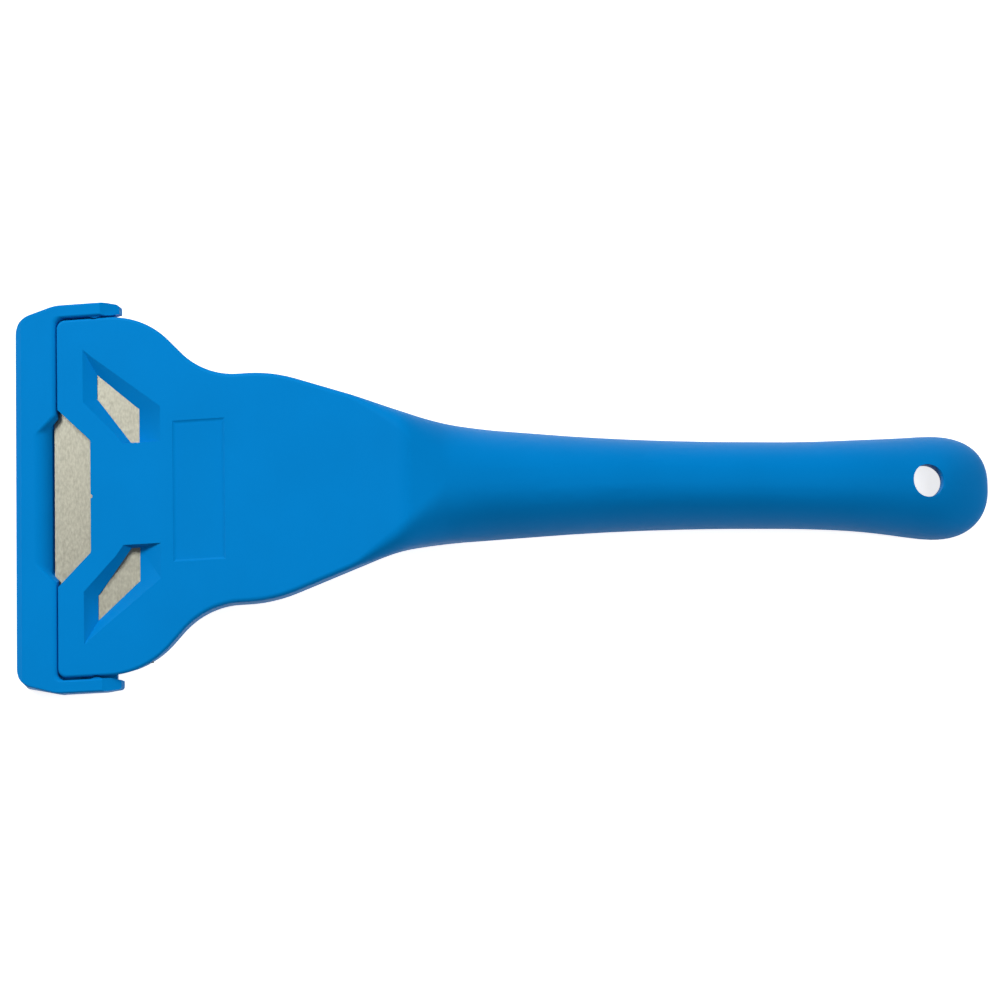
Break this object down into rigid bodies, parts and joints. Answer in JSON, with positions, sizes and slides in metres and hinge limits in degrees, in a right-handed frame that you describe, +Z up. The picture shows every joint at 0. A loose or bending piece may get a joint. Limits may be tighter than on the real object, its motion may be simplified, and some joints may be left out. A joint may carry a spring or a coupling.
{
  "type": "ceramic hob scraper",
  "caption": "Ceramic hob scraper: one-piece moulded plastic head and ribbed handle, a wide razor blade under two slanted windows, and a push-on blade guard.",
  "frame": {"origin": "on the table, under the middle of the bounding box, with the tool lying blade down on its guard and its tail", "axes": "+X from the blade to the tail of the handle, +Y across the blade, +Z up from the table"},
  "size_m": [0.1696, 0.0686, 0.0236],
  "materials": {
    "body_plastic": "fine satin moulding, blue",
    "blade_steel": "satin rolled steel with a ground edge",
    "guard_plastic": "fine satin moulding, blue"
  },
  "bodies": {
    "body": {"handle_body": "body_plastic"},
    "blade": {"blade": "blade_steel"},
    "guard": {"blade_guard": "guard_plastic"}
  },
  "joints": [
    {"name": "blade_slide", "type": "slide", "parent": "body", "child": "blade", "axis": [-0.9636, 0, -0.2672], "range_m": [0, 0.018]},
    {"name": "guard_slide", "type": "slide", "parent": "blade", "child": "guard", "axis": [-0.9636, 0, -0.2672], "range_m": [0, 0.025]}
  ]
}
